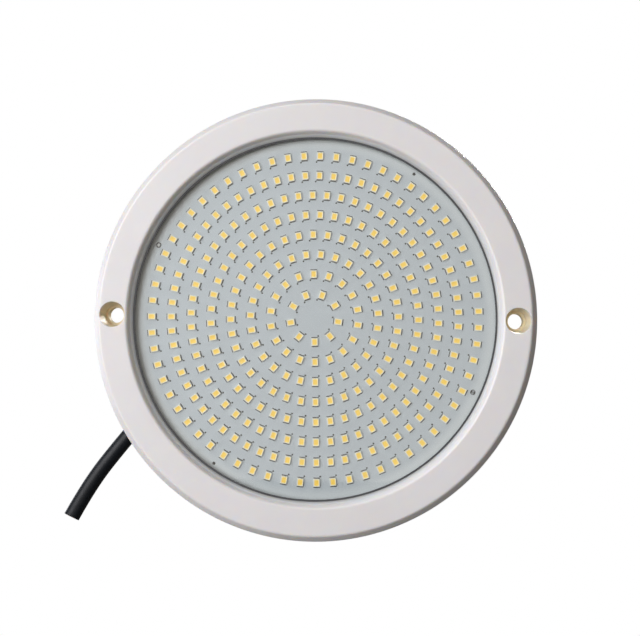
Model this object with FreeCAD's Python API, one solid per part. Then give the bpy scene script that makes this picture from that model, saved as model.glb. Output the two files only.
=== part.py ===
import FreeCAD, Part
import math
import os
from FreeCAD import Vector

# Round underwater pool light, screwed flat to the wall of a pool.  Millimetres.
# It is drawn lying on its back: x right, y up the wall, z out of the wall, z = 0 at
# the wall.  Saving a node turns it upright, so that +Z is up and the light faces -Y.

# Driving dimensions
OUTER_R = 100.0
THICKNESS = 12.0
FACE_R_OUT = 97.0
FACE_R_IN = 84.6
COVE_R = 83.4
COVE_HEIGHT = 9.9
LIP_R = 82.1
SIDE_HEIGHT = 8.2
WALL = 2.4

# Window: a clear disc squeezed between the lip of the ring and the rear shell
WINDOW_R = 85.2
WINDOW_BOTTOM = 7.0
WINDOW_TOP = 8.8
SEAL_THICKNESS = 0.3
LIP_BOTTOM = WINDOW_TOP + SEAL_THICKNESS
SEAL_R_IN = 81.3
GASKET_THICKNESS = 0.8
SLACK = 0.2

# Pan of the rear shell, which holds the LED board
CAVITY_R = 81.0
PAN_R_IN = 83.0
BOARD_BOTTOM = 4.8
BOARD_TOP = 6.0
BOARD_R = 82.7
BOARD_TURN = 1.8

# LEDs: 3.5 x 2.8 mm packages in concentric rings, long side along the radius
LEDS_PER_RING = (9, 18, 27, 36, 45, 54, 63, 63)
LED_PITCH = 9.02
LED_FIRST_R = 1.207 * LED_PITCH
LED_LONG = 3.5
LED_WIDE = 2.8
LED_HEIGHT = 0.7
PHOSPHOR_MARGIN = 0.35
PHOSPHOR_DEPTH = 0.25

# Holes near the edge of the board: radius, angle on the board, diameter
PEG_HOLE = (78.7, 154.0, 2.6)
LEAD_HOLE = (78.7, 334.0, 2.5)
TOOLING_HOLES = ((79.7, 54.5, 1.5), (79.7, 234.5, 1.5))
PEG_FIT = 1.1

# Two wall screws, each in a tapered well whose floor takes the screw head
WALL_SCREW_X = 91.0
WALL_SCREW_R = 3.5
WELL_R = 5.8
WELL_FLOOR_R = 4.6
WELL_FLOOR = 4.0
WELL_WALL_R = 6.2
SCREW_TUBE_R = 5.2

# Self-tapping screws that pull the rear shell to the ring
SCREW_COUNT = 8
SCREW_CIRCLE_R = 92.3
SCREW_R = 1.45
SCREW_LENGTH = 7.2
SCREW_HEAD_R = 2.7
SCREW_HEAD_HEIGHT = 1.2
SCREW_RECESS = 1.4
SCREW_RECESS_R = 3.1
SCREW_POST_R = 3.2
RIB_COUNT = 16
RIB_THICKNESS = 1.2

# Back of the rear shell
POCKET_R_IN = 30.0
POCKET_R_OUT = 76.0
POCKET_DEPTH = 1.0
POCKET_COUNT = 12
POCKET_RIB = 3.0

# Cable gland, M16, screwed into a boss behind the centre
BOSS_R = 13.0
BOSS_LENGTH = 8.0
THREAD_R = 8.0
THREAD_DEPTH = 7.0
FEED_HOLE_R = 4.75
SPANNER_SIZE = 22.0
O_RING_R_OUT = 10.6
O_RING_THICKNESS = 1.0
GLAND_HEX_HEIGHT = 4.0
GLAND_NECK_R = 7.5
GLAND_NECK_LENGTH = 7.0
GLAND_BORE_R = 5.0
INSERT_R = 6.0
CAP_GAP = 0.4
CAP_MOUTH = -25.0

# Cable, cut off square at its free end
CABLE_D = 8.4
CABLE_START = -12.0
CABLE_ROUTE = (
    (0.0, 0.0, -12.0),
    (0.0, 0.0, -36.0),
    (-11.4, -3.7, -56.8),
    (-31.2, -10.1, -68.8),
    (-58.0, -20.5, -70.5),
    (-84.5, -40.5, -71.0),
    (-105.6, -66.0, -70.0),
    (-121.8, -87.5, -70.0),
    (-131.3, -105.3, -70.0),
)
ARC_SHARE = 0.45

# Driver board and what is soldered to it
DRIVER_X = (14.0, 64.0)
DRIVER_Y = (-21.0, 21.0)
DRIVER_TOP = 3.2
LEAD_D = 2.0
LEAD_CORE_D = 0.9
LEAD_SPACING = 1.3
LEAD_Z = 3.7
LINK_D = 1.1

AXIS = Vector(0, 0, 1)


def disc(radius, z_low, z_high):
    return Part.makeCylinder(radius, z_high - z_low, Vector(0, 0, z_low))


def band(r_in, r_out, z_low, z_high):
    return disc(r_out, z_low, z_high).cut(disc(r_in, z_low, z_high))


def block(centre, size, z_low):
    """A box of size (x, y, z) with its middle over centre and its underside at z_low."""
    corner = Vector(centre[0] - size[0] / 2, centre[1] - size[1] / 2, z_low)
    return Part.makeBox(size[0], size[1], size[2], corner)


def placed(shape, radius, angle):
    """A copy of a shape drawn at the origin, moved out to radius and turned to angle."""
    copy = shape.copy()
    copy.translate(Vector(radius, 0, 0))
    copy.rotate(Vector(0, 0, 0), AXIS, angle)
    return copy


def rounded_wire(corners):
    """A closed outline through (x, y, z, radius) corners, each rounded by an arc."""
    edges = []
    starts = []
    ends = []
    count = len(corners)
    for i in range(count):
        here = Vector(*corners[i][:3])
        to_last = (Vector(*corners[i - 1][:3]) - here).normalize()
        to_next = (Vector(*corners[(i + 1) % count][:3]) - here).normalize()
        radius = corners[i][3]
        if radius == 0:
            starts.append(here)
            ends.append(here)
            continue
        half = to_last.getAngle(to_next) / 2
        reach = radius / math.tan(half)
        inward = (to_last + to_next).normalize()
        middle = here + inward * (radius / math.sin(half) - radius)
        starts.append(here + to_last * reach)
        ends.append(here + to_next * reach)
        edges.append(Part.Arc(starts[-1], middle, ends[-1]).toShape())
    for i in range(count):
        edges.append(Part.LineSegment(ends[i], starts[(i + 1) % count]).toShape())
    return Part.Wire(Part.__sortEdges__(edges))


def turned(outline):
    """Revolve an outline of (radius, height, rounding) corners about the axis."""
    corners = [(r, 0.0, z, rounding) for r, z, rounding in outline]
    return Part.Face(rounded_wire(corners)).revolve(Vector(0, 0, 0), AXIS, 360)


def tube(points, diameter, label=""):
    """Sweep a round section along straight runs joined by arcs as large as they allow."""
    corners = [Vector(*point) for point in points]
    edges = []
    last = corners[0]
    for i in range(1, len(corners) - 1):
        back = corners[i - 1] - corners[i]
        ahead = corners[i + 1] - corners[i]
        reach = ARC_SHARE * min(back.Length, ahead.Length)
        back.normalize()
        ahead.normalize()
        half_turn = (math.pi - back.getAngle(ahead)) / 2
        radius = reach / math.tan(half_turn)
        inward = (back + ahead).normalize()
        middle = corners[i] + inward * (radius / math.cos(half_turn) - radius)
        start = corners[i] + back * reach
        end = corners[i] + ahead * reach
        edges.append(Part.LineSegment(last, start).toShape())
        edges.append(Part.Arc(start, middle, end).toShape())
        last = end
        if label:
            print(label, "arc", i, "radius", round(radius, 1))
    edges.append(Part.LineSegment(last, corners[-1]).toShape())
    length = sum(edge.Length for edge in edges)
    first_run = (corners[1] - corners[0]).normalize()
    section = Part.Wire(Part.Circle(corners[0], first_run, diameter / 2).toShape())
    solid = Part.Wire(edges).makePipeShell([section], True, False)
    if label:
        full = math.pi * diameter ** 2 / 4 * length
        print(label, "length", round(length, 1), "volume", solid.Volume, "of", full)
    return solid


def hexagon(across_flats, z_low, z_high):
    radius = across_flats / math.sqrt(3)
    corners = []
    for i in range(6):
        turn = math.radians(60 * i + 30)
        corners.append(Vector(radius * math.cos(turn), radius * math.sin(turn), z_low))
    outline = Part.makePolygon(corners + corners[:1])
    return Part.Face(outline).extrude(Vector(0, 0, z_high - z_low))


def wall_screw_angles():
    return (0.0, 180.0)


def screw_angles():
    step = 360.0 / SCREW_COUNT
    return [step * (i + 0.5) for i in range(SCREW_COUNT)]


def board_place(hole):
    """Radius and angle of a board hole, with the turn of the board added."""
    return hole[0], hole[1] + BOARD_TURN


def make_face_ring():
    """Moulded ABS ring: face, bevelled lip over the window, skirt down to the wall."""
    body = turned((
        (OUTER_R, 0.0, 0.4),
        (OUTER_R, SIDE_HEIGHT, 1.6),
        (FACE_R_OUT, THICKNESS, 1.6),
        (FACE_R_IN, THICKNESS, 1.4),
        (COVE_R, COVE_HEIGHT, 1.4),
        (LIP_R, LIP_BOTTOM, 0.0),
        (WINDOW_R + SLACK, LIP_BOTTOM, 0.0),
        (WINDOW_R + SLACK, WALL, 0.0),
        (WINDOW_R + SLACK + 2.0, WALL, 0.0),
        (WINDOW_R + SLACK + 2.0, THICKNESS - WALL, 0.0),
        (FACE_R_OUT - 0.9, THICKNESS - WALL, 0.0),
        (OUTER_R - WALL, SIDE_HEIGHT - 0.8, 0.0),
        (OUTER_R - WALL, 0.0, 0.0),
    ))
    under_face = THICKNESS - WALL + SLACK
    rib_r_in = WINDOW_R + 1.2
    rib_r_out = OUTER_R - WALL / 2
    rib_height = SIDE_HEIGHT - 0.8 - WALL
    rib_size = (rib_r_out - rib_r_in, RIB_THICKNESS, rib_height)
    rib = block(((rib_r_in + rib_r_out) / 2, 0), rib_size, WALL)
    rib_step = 360.0 / RIB_COUNT
    added = [placed(rib, 0, rib_step * (i + 0.5)) for i in range(RIB_COUNT)]
    for angle in screw_angles():
        added.append(placed(disc(SCREW_POST_R, WALL, under_face), SCREW_CIRCLE_R, angle))
    for angle in wall_screw_angles():
        added.append(placed(disc(SCREW_TUBE_R, 0, under_face), WALL_SCREW_X, angle))
        added.append(placed(disc(WELL_WALL_R, WALL, under_face), WALL_SCREW_X, angle))
    body = body.fuse(added).cut(disc(WINDOW_R + SLACK, 0, LIP_BOTTOM))
    pilot = disc(SCREW_R, WALL, SCREW_RECESS + SCREW_LENGTH + 0.4)
    cuts = [placed(pilot, SCREW_CIRCLE_R, angle) for angle in screw_angles()]
    well_depth = THICKNESS - WELL_FLOOR
    well = Part.makeCone(WELL_FLOOR_R, WELL_R, well_depth, Vector(0, 0, WELL_FLOOR))
    hole = well.fuse(disc(WALL_SCREW_R, 0, WELL_FLOOR))
    cuts += [placed(hole, WALL_SCREW_X, angle) for angle in wall_screw_angles()]
    return body.cut(cuts).removeSplitter()


def make_window():
    """Clear polycarbonate disc."""
    return turned((
        (0.0, WINDOW_BOTTOM, 0.0),
        (WINDOW_R, WINDOW_BOTTOM, 0.3),
        (WINDOW_R, WINDOW_TOP, 0.3),
        (0.0, WINDOW_TOP, 0.0),
    ))


def make_front_seal():
    """Thin black rubber ring between the window and the lip."""
    return band(SEAL_R_IN, WINDOW_R, WINDOW_TOP, LIP_BOTTOM)


def make_rear_gasket():
    """Silicone ring that the pan wall presses against the back of the window."""
    return band(PAN_R_IN + SLACK, WINDOW_R - SLACK, WINDOW_BOTTOM - GASKET_THICKNESS, WINDOW_BOTTOM)


def make_led_board():
    """Round aluminium-core circuit board with four holes near its edge."""
    holes = [PEG_HOLE, LEAD_HOLE] + list(TOOLING_HOLES)
    cuts = []
    for hole in holes:
        radius, angle = board_place(hole)
        cuts.append(placed(disc(hole[2] / 2, BOARD_BOTTOM, BOARD_TOP), radius, angle))
    return disc(BOARD_R, BOARD_BOTTOM, BOARD_TOP).cut(cuts)


def on_every_led(shape):
    """Copies of one LED's shape, drawn at the origin, on all the rings."""
    copies = []
    for ring, count in enumerate(LEDS_PER_RING):
        radius = LED_FIRST_R + ring * LED_PITCH
        for i in range(count):
            angle = 270.0 + BOARD_TURN + 360.0 / count * i
            copies.append(placed(shape, radius, angle))
    return copies


def make_leds():
    """White packages with a window in the top, and the phosphor that fills it."""
    top = BOARD_TOP + LED_HEIGHT
    body = block((0, 0), (LED_LONG, LED_WIDE, LED_HEIGHT), BOARD_TOP)
    window = (LED_LONG - 2 * PHOSPHOR_MARGIN, LED_WIDE - 2 * PHOSPHOR_MARGIN, PHOSPHOR_DEPTH)
    phosphor = block((0, 0), window, top - PHOSPHOR_DEPTH)
    return on_every_led(body.cut(phosphor)), on_every_led(phosphor)


def make_rear_shell():
    """Moulded pan that closes the back, with the peg and the boss for the gland."""
    plate_r = OUTER_R - WALL - SLACK
    wall_top = WINDOW_BOTTOM - GASKET_THICKNESS
    peg_radius, peg_angle = board_place(PEG_HOLE)
    peg = disc((PEG_HOLE[2] - PEG_FIT) / 2, 0.5 * WALL, BOARD_TOP)
    body = disc(plate_r, 0, WALL).fuse([
        band(PAN_R_IN, WINDOW_R, 0.5 * WALL, wall_top),
        band(CAVITY_R, PAN_R_IN, 0.5 * WALL, BOARD_BOTTOM),
        disc(BOSS_R, -BOSS_LENGTH, 0.5 * WALL),
        placed(peg, peg_radius, peg_angle),
    ])
    pocket = band(POCKET_R_IN, POCKET_R_OUT, 0, POCKET_DEPTH)
    rib = block((POCKET_R_OUT / 2, 0), (POCKET_R_OUT + 2, POCKET_RIB, POCKET_DEPTH), 0)
    pocket_step = 360.0 / POCKET_COUNT
    pocket = pocket.cut([placed(rib, 0, pocket_step * i) for i in range(POCKET_COUNT)])
    cuts = [pocket]
    for angle in wall_screw_angles():
        cuts.append(placed(disc(SCREW_TUBE_R + SLACK, 0, WALL), WALL_SCREW_X, angle))
    for angle in screw_angles():
        cuts.append(placed(disc(SCREW_R + SLACK, 0, WALL), SCREW_CIRCLE_R, angle))
        cuts.append(placed(disc(SCREW_RECESS_R, 0, SCREW_RECESS), SCREW_CIRCLE_R, angle))
    cuts.append(disc(THREAD_R, -BOSS_LENGTH, THREAD_DEPTH - BOSS_LENGTH))
    cuts.append(disc(FEED_HOLE_R, THREAD_DEPTH - BOSS_LENGTH, WALL))
    return body.cut(cuts).removeSplitter()


def make_assembly_screws():
    """Pan-head self-tapping screws with a cross recess, heads sunk in the back."""
    head_bottom = SCREW_RECESS - SCREW_HEAD_HEIGHT
    head = Part.makeCylinder(SCREW_HEAD_R, SCREW_HEAD_HEIGHT, Vector(0, 0, head_bottom))
    head = head.makeFillet(0.5, [edge for edge in head.Edges if edge.BoundBox.ZMax < SCREW_RECESS - 0.5])
    slot_depth = 0.7
    cross = block((0, 0), (3.0, 0.6, slot_depth), head_bottom)
    cross = cross.fuse(block((0, 0), (0.6, 3.0, slot_depth), head_bottom))
    shank = disc(SCREW_R, SCREW_RECESS, SCREW_RECESS + SCREW_LENGTH)
    screw = head.cut(cross).fuse(shank).removeSplitter()
    return [placed(screw, SCREW_CIRCLE_R, angle) for angle in screw_angles()]


def driver_parts(kind_size, places):
    """Components of one size standing on the driver board."""
    return [block(place, kind_size, DRIVER_TOP) for place in places]


def make_driver_components():
    """Rectifier, regulators, coils, capacitors and resistors of the 12 V driver."""
    return {
        "rectifier_diodes": driver_parts(
            (4.3, 2.6, 1.1), [(22.0, y) for y in (-12.0, -4.0, 4.0, 12.0)]
        ),
        "chip_capacitors": driver_parts(
            (2.5, 3.2, 1.4), [(30.0, y) for y in (-15.0, -9.0, -3.0, 3.0, 9.0, 15.0)]
        ),
        "driver_chips": driver_parts((4.0, 4.9, 1.4), [(39.0, y) for y in (-12.0, 0.0, 12.0)]),
        "power_inductors": driver_parts((5.0, 5.0, 1.4), [(48.0, y) for y in (-12.0, 0.0, 12.0)]),
        "sense_resistors": driver_parts(
            (1.6, 3.2, 0.6), [(56.0, y) for y in (-15.0, -11.0, -3.0, 3.0, 11.0, 15.0)]
        ),
    }


def make_leads():
    """The two cores of the cable, stripped at the driver board, and their solder."""
    leads = []
    solder = []
    pad_x = DRIVER_X[0]
    for y in (-LEAD_SPACING, LEAD_SPACING):
        lead = tube(((0, y, CABLE_START), (0, y, LEAD_Z), (pad_x, y, LEAD_Z)), LEAD_D)
        core_start = Vector(pad_x, y, LEAD_Z)
        core = Part.makeCylinder(LEAD_CORE_D / 2, 2.4, core_start, Vector(1, 0, 0))
        leads.append(lead.fuse(core))
        dome = block((pad_x + 1.3, y), (2.4, 1.8, 1.3), DRIVER_TOP)
        solder.append(dome.cut(core))
    return leads, solder


def make_link_wires():
    """Two thin wires from the driver board up into the hole of the LED board."""
    radius, angle = board_place(LEAD_HOLE)
    turn = math.radians(angle)
    hole = Vector(radius * math.cos(turn), radius * math.sin(turn), 0)
    across = Vector(-math.sin(turn), math.cos(turn), 0) * (LINK_D / 2 + 0.03)
    wire_z = DRIVER_TOP + LINK_D / 2
    start = Vector(DRIVER_X[1], -18.0, wire_z)
    wires = []
    for side in (-1, 1):
        under_hole = hole + across * side
        away = Vector(0, 1.2 * side, 0)
        route = (
            start + away,
            under_hole + Vector(0, 0, wire_z),
            under_hole + Vector(0, 0, BOARD_TOP - 0.1),
        )
        wires.append(tube(route, LINK_D))
    return wires


def make_potting_resin(buried):
    """Resin cast in the pan around everything behind the LED board."""
    return disc(CAVITY_R, WALL, BOARD_BOTTOM).cut(buried)


def make_gland():
    """Nylon cable gland: body, O-ring, rubber insert and cap."""
    flange_bottom = -BOSS_LENGTH - O_RING_THICKNESS - GLAND_HEX_HEIGHT
    neck_end = flange_bottom - GLAND_NECK_LENGTH
    o_ring = band(THREAD_R, O_RING_R_OUT, -BOSS_LENGTH - O_RING_THICKNESS, -BOSS_LENGTH)
    body = hexagon(SPANNER_SIZE, flange_bottom, -BOSS_LENGTH - O_RING_THICKNESS).fuse([
        disc(THREAD_R, -BOSS_LENGTH - O_RING_THICKNESS, THREAD_DEPTH - BOSS_LENGTH),
        disc(GLAND_NECK_R, neck_end, flange_bottom),
    ])
    bore = disc(GLAND_BORE_R, flange_bottom, THREAD_DEPTH - BOSS_LENGTH)
    socket = disc(INSERT_R, neck_end, flange_bottom)
    body = body.cut([bore, socket]).removeSplitter()
    insert_end = neck_end - 2.0
    insert = turned((
        (CABLE_D / 2, flange_bottom, 0.0),
        (INSERT_R, flange_bottom, 0.0),
        (INSERT_R, insert_end + 1.0, 0.0),
        (INSERT_R - 1.0, insert_end, 0.0),
        (CABLE_D / 2, insert_end, 0.0),
    ))
    cap = turned((
        (INSERT_R, flange_bottom - CAP_GAP, 0.0),
        (SPANNER_SIZE / 2 + 1.4, flange_bottom - CAP_GAP, 0.6),
        (SPANNER_SIZE / 2 + 1.4, neck_end - 0.6, 2.5),
        (CABLE_D / 2 + 2.2, CAP_MOUTH, 1.0),
        (CABLE_D / 2 + SLACK, CAP_MOUTH, 0.0),
        (CABLE_D / 2 + SLACK, insert_end - 1.0, 0.0),
        (INSERT_R, insert_end + 1.0, 0.0),
    ))
    cap = cap.common(hexagon(SPANNER_SIZE, CAP_MOUTH - 1.0, flange_bottom))
    cap = cap.cut(disc(GLAND_NECK_R, neck_end, flange_bottom)).removeSplitter()
    return {"gland_body": body, "gland_o_ring": o_ring, "gland_insert": insert, "gland_cap": cap}


def save(name, shapes):
    """Turn a node upright, as it hangs on the wall, and write it as STEP."""
    solids = shapes if isinstance(shapes, list) else [shapes]
    whole = Part.makeCompound(solids) if len(solids) > 1 else solids[0]
    whole = whole.copy()
    whole.rotate(Vector(0, 0, 0), Vector(1, 0, 0), 90)
    whole.exportStep(os.path.join("parts", name + ".step"))
    print(name, len(whole.Solids), "solids", round(whole.Volume), "mm3", whole.isValid())


def main():
    os.makedirs("parts", exist_ok=True)
    packages, phosphors = make_leds()
    leads, solder = make_leads()
    driver_board = block(
        (sum(DRIVER_X) / 2, sum(DRIVER_Y) / 2),
        (DRIVER_X[1] - DRIVER_X[0], DRIVER_Y[1] - DRIVER_Y[0], DRIVER_TOP - WALL),
        WALL,
    )
    rear_shell = make_rear_shell()
    components = make_driver_components()
    link_wires = make_link_wires()
    buried = [driver_board, rear_shell] + leads + solder + link_wires
    for group in components.values():
        buried += group
    nodes = {
        "face_ring": make_face_ring(),
        "window": make_window(),
        "front_seal": make_front_seal(),
        "rear_gasket": make_rear_gasket(),
        "led_board": make_led_board(),
        "led_packages": packages,
        "led_phosphors": phosphors,
        "rear_shell": rear_shell,
        "assembly_screws": make_assembly_screws(),
        "driver_board": driver_board,
        "cable_cores": leads,
        "core_solder": solder,
        "link_wires": link_wires,
        "potting_resin": make_potting_resin(buried),
        "cable": tube(CABLE_ROUTE, CABLE_D, "cable"),
    }
    nodes.update(components)
    nodes.update(make_gland())
    for name, shapes in nodes.items():
        save(name, shapes)


main()
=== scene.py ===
# %% [markdown]
# # A slim underwater pool light
#
# The light is a white moulded ring around a clear window, with a disc-shaped circuit board of small
# white LEDs behind it. Its CAD model arrives as a fixed frame of named nodes. Here each visible piece
# gets its finished surface, and a few plain CAD shapes give way to detailed ones of the same size.
#
# The light hangs on a wall: +Z is up, the window faces -Y, and the wall is the plane y = 0.

# %% Load the frame
import math

import bmesh
import bpy
from mathutils import Matrix, Quaternion, Vector


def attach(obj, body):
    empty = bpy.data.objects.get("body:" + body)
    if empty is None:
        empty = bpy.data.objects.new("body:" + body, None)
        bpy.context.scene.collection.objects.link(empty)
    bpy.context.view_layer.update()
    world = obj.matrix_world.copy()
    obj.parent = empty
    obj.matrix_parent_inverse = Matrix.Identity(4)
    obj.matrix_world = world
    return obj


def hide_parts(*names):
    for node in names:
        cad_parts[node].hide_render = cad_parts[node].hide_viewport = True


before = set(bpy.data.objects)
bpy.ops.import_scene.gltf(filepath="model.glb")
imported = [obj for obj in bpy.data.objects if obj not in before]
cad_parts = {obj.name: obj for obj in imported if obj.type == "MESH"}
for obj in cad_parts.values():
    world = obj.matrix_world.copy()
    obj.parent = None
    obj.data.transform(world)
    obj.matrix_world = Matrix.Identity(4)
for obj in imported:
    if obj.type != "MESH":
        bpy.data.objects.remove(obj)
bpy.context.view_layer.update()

# %% [markdown]
# All lengths are written in millimetres and multiplied by MM, because a maker thinks in millimetres
# and Blender works in metres. Colours are written as sRGB hex values, the way a paint chart gives
# them, and one function turns them into the linear values that a shader needs.
#
# `node` is the only helper for node trees. It adds one node, sets its properties, and fills each of
# its inputs either with a value or with a link from another node's output.

# %% Units, colours and nodes
MM = 0.001


def colour(text):
    """An sRGB hex value such as 'E8E6E4' as a linear colour with alpha."""
    channels = [int(text[i:i + 2], 16) / 255 for i in (0, 2, 4)]
    return [c / 12.92 if c <= 0.04045 else ((c + 0.055) / 1.055) ** 2.4 for c in channels] + [1.0]


def node(tree, kind, inputs=None, **settings):
    made = tree.nodes.new(kind)
    for key, value in settings.items():
        setattr(made, key, value)
    for key, value in (inputs or {}).items():
        if isinstance(value, bpy.types.NodeSocket):
            tree.links.new(value, made.inputs[key])
        else:
            made.inputs[key].default_value = value
    return made


print("white", colour("FFFFFF"))

# %% [markdown]
# A modelled piece is a mesh whose points already stand in the right place, on an object at the origin.
# `finish_piece` gives it a material, smooth shading with sharp edges where the surface really turns,
# and the body that it moves with. This light has no moving parts, so that body is always "root".

# %% Finishing a piece


def finish_piece(piece, material, sharp_angle=32, replaces=()):
    piece.data.materials.clear()
    piece.data.materials.append(material)
    piece.data.shade_smooth()
    piece.data.set_sharp_from_angle(angle=math.radians(sharp_angle))
    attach(piece, "root")
    if replaces:
        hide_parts(*replaces)
    print(piece.name, len(piece.data.polygons), "faces")
    return piece


def new_object(name, data):
    made = bpy.data.objects.new(name, data)
    bpy.context.scene.collection.objects.link(made)
    return made


def mesh_from(bm, name):
    """Turn a bmesh into a mesh and free it."""
    mesh = bpy.data.meshes.new(name)
    bm.to_mesh(mesh)
    bm.free()
    return mesh


# %% [markdown]
# Circular pieces are easiest to think of lying on the bench: x to the right, y up the wall, z out
# towards the viewer. Every Geometry Nodes tree below works in that lying frame, and its last step
# turns the result upright, a quarter turn about X. `new_tree` makes a tree with named inputs, and
# `grow` runs it on a starting mesh and keeps the result as a plain mesh with no modifier left.

# %% Geometry Nodes helpers
QUARTER_TURN = math.radians(90)


def new_tree(name, **sockets):
    tree = bpy.data.node_groups.new(name, "GeometryNodeTree")
    tree.interface.new_socket("Geometry", in_out="INPUT", socket_type="NodeSocketGeometry")
    for label, kind in sockets.items():
        tree.interface.new_socket(label, in_out="INPUT", socket_type="NodeSocket" + kind)
    tree.interface.new_socket("Geometry", in_out="OUTPUT", socket_type="NodeSocketGeometry")
    return tree, node(tree, "NodeGroupInput").outputs


def end_tree(tree, geometry, material):
    """Turn upright, make instances real and set the material: the last steps of each tree."""
    upright = node(
        tree, "GeometryNodeTransform",
        {"Geometry": geometry, "Rotation": (QUARTER_TURN, 0, 0)},
    )
    real = node(tree, "GeometryNodeRealizeInstances", {"Geometry": upright.outputs[0]})
    painted = node(
        tree, "GeometryNodeSetMaterial", {"Geometry": real.outputs[0], "Material": material}
    )
    node(tree, "NodeGroupOutput", {"Geometry": painted.outputs[0]})


def grow(name, tree, start=None, **values):
    piece = new_object(name, start or bpy.data.meshes.new(name))
    modifier = piece.modifiers.new("grow", "NODES")
    modifier.node_group = tree
    for item in tree.interface.items_tree:
        if item.in_out == "INPUT" and item.name in values:
            modifier[item.identifier] = values[item.name]
    graph = bpy.context.evaluated_depsgraph_get()
    result = bpy.data.meshes.new_from_object(
        piece.evaluated_get(graph), preserve_all_data_layers=True, depsgraph=graph
    )
    piece.modifiers.clear()
    piece.data = result
    return piece


# %% [markdown]
# ## The camera
#
# The light is seen from the front at arm's length, a touch from the right and from below its centre,
# with a normal lens. The camera aims at the middle of the window and leans one degree.

# %% Camera
CAMERA_PLACE = Vector((14.6, -412.5, -19.3)) * MM
CAMERA_AIM = Vector((2.7, -12.0, -0.2)) * MM
CAMERA_LEAN = math.radians(1.0)
CAMERA_LENS = 50.5

camera_data = bpy.data.cameras.new("camera")
camera_data.lens = CAMERA_LENS
camera_data.sensor_width = 36
camera_data.clip_start = 0.01
camera = new_object("camera", camera_data)
camera.location = CAMERA_PLACE
camera.rotation_mode = "QUATERNION"
aim = (CAMERA_AIM - CAMERA_PLACE).to_track_quat("-Z", "Y")
camera.rotation_quaternion = aim @ Quaternion((0, 0, 1), CAMERA_LEAN)
bpy.context.scene.camera = camera
print("camera", (CAMERA_AIM - CAMERA_PLACE).length, "m from the window")

# %% [markdown]
# ## Materials
#
# Each material starts from what the real one is. `new_material` makes a material with one Principled
# shader and returns it with its tree, so that a finish can add its own nodes. Patterns read Object
# coordinates, in metres, so `grain` takes a size in millimetres and works out the noise's scale.

# %% Starting a material


def new_material(name, base, roughness, **constants):
    made = bpy.data.materials.new(name)
    made.use_nodes = True
    made.diffuse_color = colour(base)
    tree = made.node_tree
    shader = tree.nodes["Principled BSDF"]
    shader.inputs["Base Color"].default_value = colour(base)
    shader.inputs["Roughness"].default_value = roughness
    for label, value in constants.items():
        shader.inputs[label.replace("_", " ")].default_value = value
    return made, tree, shader


def grain(tree, size_mm, detail=2.0):
    """A noise whose patches are about size_mm across, read from Object coordinates."""
    place = node(tree, "ShaderNodeTexCoord").outputs["Object"]
    inputs = {"Vector": place, "Scale": 1 / (size_mm * MM), "Detail": detail}
    return node(tree, "ShaderNodeTexNoise", inputs).outputs["Fac"]


print("a 2 mm grain has scale", 1 / (2 * MM))

# %% [markdown]
# A finish is then laid on in a few strokes. `tint`, `polish` and `relief` let a pattern vary the
# colour, the gloss and the height of the surface. `overlay` adds a further colour in one place, and
# `flattened` and `distance_from_axis` say where a point lies on the round face of the light.

# %% Strokes of a finish


def flattened(tree):
    """A point's place with its depth taken away."""
    place = node(tree, "ShaderNodeTexCoord").outputs["Object"]
    inputs = {0: place, 1: (1.0, 0.0, 1.0)}
    return node(tree, "ShaderNodeVectorMath", inputs, operation="MULTIPLY").outputs["Vector"]


def distance_from_axis(tree):
    inputs = {0: flattened(tree)}
    return node(tree, "ShaderNodeVectorMath", inputs, operation="LENGTH").outputs["Value"]


def tint(tree, shader, factor, low, high):
    """Base colour between two sRGB hex values, by a 0 to 1 pattern."""
    mix = node(
        tree, "ShaderNodeMix",
        {"Factor": factor, "A": colour(low), "B": colour(high)}, data_type="RGBA",
    )
    tree.links.new(mix.outputs["Result"], shader.inputs["Base Color"])


def polish(tree, shader, factor, low, high):
    """Roughness between two values, by a 0 to 1 pattern."""
    spread = node(tree, "ShaderNodeMapRange", {"Value": factor, "To Min": low, "To Max": high})
    tree.links.new(spread.outputs["Result"], shader.inputs["Roughness"])


def relief(tree, shader, height, depth_mm):
    """Bump from a 0 to 1 pattern, depth_mm deep."""
    inputs = {"Height": height, "Distance": depth_mm * MM, "Strength": 1.0}
    bump = node(tree, "ShaderNodeBump", inputs)
    tree.links.new(bump.outputs["Normal"], shader.inputs["Normal"])


def overlay(tree, shader, factor, tone, blend_type="MIX"):
    """One more colour over the base colour that the shader already has."""
    under = shader.inputs["Base Color"].links[0].from_socket
    mix = node(
        tree, "ShaderNodeMix", {"Factor": factor, "A": under, "B": colour(tone)},
        data_type="RGBA", blend_type=blend_type,
    )
    tree.links.new(mix.outputs["Result"], shader.inputs["Base Color"])


print("strokes: tint, polish, relief, overlay")

# %% [markdown]
# Acrylonitrile butadiene styrene, the common white plastic of pool fittings, is injection moulded
# in a lightly spark-eroded tool. That leaves a satin skin with a grain of a few tenths of a
# millimetre and a very slight cloudiness, where the melt cooled unevenly.

# %% Moulded ABS
LIP_R = 82.1
WALL_SCREW_X = 91.0
WELL_R = 5.8


def moulded_abs(name, low, high, gloss):
    made, tree, shader = new_material(name, high, gloss, IOR=1.54)
    tint(tree, shader, grain(tree, 22, 3.0), low, high)
    polish(tree, shader, grain(tree, 6, 4.0), gloss - 0.05, gloss + 0.08)
    relief(tree, shader, grain(tree, 0.45, 1.0), 0.006)
    return made, tree, shader


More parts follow.
